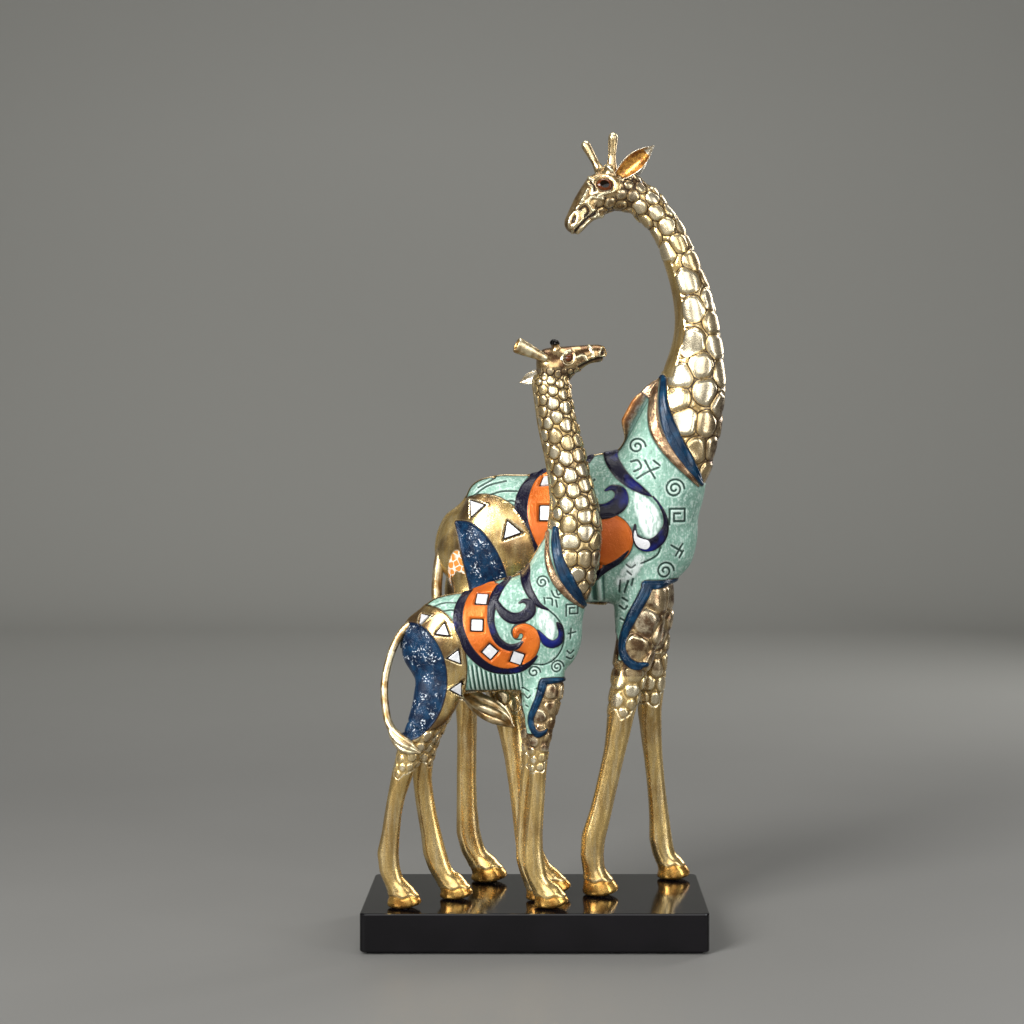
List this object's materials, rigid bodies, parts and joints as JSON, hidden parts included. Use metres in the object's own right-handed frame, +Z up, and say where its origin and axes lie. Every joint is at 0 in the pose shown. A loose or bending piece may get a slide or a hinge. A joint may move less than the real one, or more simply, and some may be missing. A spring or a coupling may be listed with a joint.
{
  "type": "giraffe mother and calf statue",
  "caption": "Decorative statue of a standing giraffe and its calf, cast and painted with relief, patina and mirror-tile inlay, on a gloss black plinth",
  "frame": {"origin": "middle of the flat underside of the felt that the plinth stands on", "axes": "+Z up, +X the way both bodies face, -Y towards the calf's side"},
  "size_m": [0.1829, 0.086, 0.4067],
  "materials": {
    "patina": "cast resin painted mint green with a pale dry-brushed patina and dark engraved lines",
    "gold": "cast resin in satin metallic gold over dark brown recesses",
    "amber": "cast resin in amber over gold with a silvered rim",
    "mirror_tile": "flat cut mirror glass, silvered behind",
    "black_lacquer": "polished black lacquer",
    "felt": "pressed felt",
    "steel": "zinc-plated steel"
  },
  "bodies": {
    "root": {"calf_ear_left": "amber", "calf_ear_right": "amber", "calf_head": "gold", "calf_leg_front_left": "gold", "calf_leg_front_right": "gold", "calf_leg_hind_left": "gold", "calf_leg_hind_right": "gold", "calf_neck": "gold", "calf_screw_front_left": "steel", "calf_screw_hind_right": "steel", "calf_square_tile_left_1": "mirror_tile", "calf_square_tile_left_2": "mirror_tile", "calf_square_tile_left_3": "mirror_tile", "calf_square_tile_left_4": "mirror_tile", "calf_square_tile_right_1": "mirror_tile", "calf_square_tile_right_2": "mirror_tile", "calf_square_tile_right_3": "mirror_tile", "calf_square_tile_right_4": "mirror_tile", "calf_tail": "gold", "calf_torso": "patina", "calf_triangle_tile_left_1": "mirror_tile", "calf_triangle_tile_left_2": "mirror_tile", "calf_triangle_tile_left_3": "mirror_tile", "calf_triangle_tile_left_4": "mirror_tile", "calf_triangle_tile_right_1": "mirror_tile", "calf_triangle_tile_right_2": "mirror_tile", "calf_triangle_tile_right_3": "mirror_tile", "calf_triangle_tile_right_4": "mirror_tile", "felt_pad": "felt", "mother_ear_left": "amber", "mother_ear_right": "amber", "mother_head": "gold", "mother_leg_front_left": "gold", "mother_leg_front_right": "gold", "mother_leg_hind_left": "gold", "mother_leg_hind_right": "gold", "mother_neck": "gold", "mother_screw_front_right": "steel", "mother_screw_hind_left": "steel", "mother_square_tile_left_1": "mirror_tile", "mother_square_tile_left_2": "mirror_tile", "mother_square_tile_left_3": "mirror_tile", "mother_square_tile_left_4": "mirror_tile", "mother_square_tile_right_1": "mirror_tile", "mother_square_tile_right_2": "mirror_tile", "mother_square_tile_right_3": "mirror_tile", "mother_square_tile_right_4": "mirror_tile", "mother_tail": "gold", "mother_torso": "patina", "mother_triangle_tile_left_1": "mirror_tile", "mother_triangle_tile_left_2": "mirror_tile", "mother_triangle_tile_left_3": "mirror_tile", "mother_triangle_tile_left_4": "mirror_tile", "mother_triangle_tile_right_1": "mirror_tile", "mother_triangle_tile_right_2": "mirror_tile", "mother_triangle_tile_right_3": "mirror_tile", "mother_triangle_tile_right_4": "mirror_tile", "plinth": "black_lacquer"}
  },
  "joints": []
}
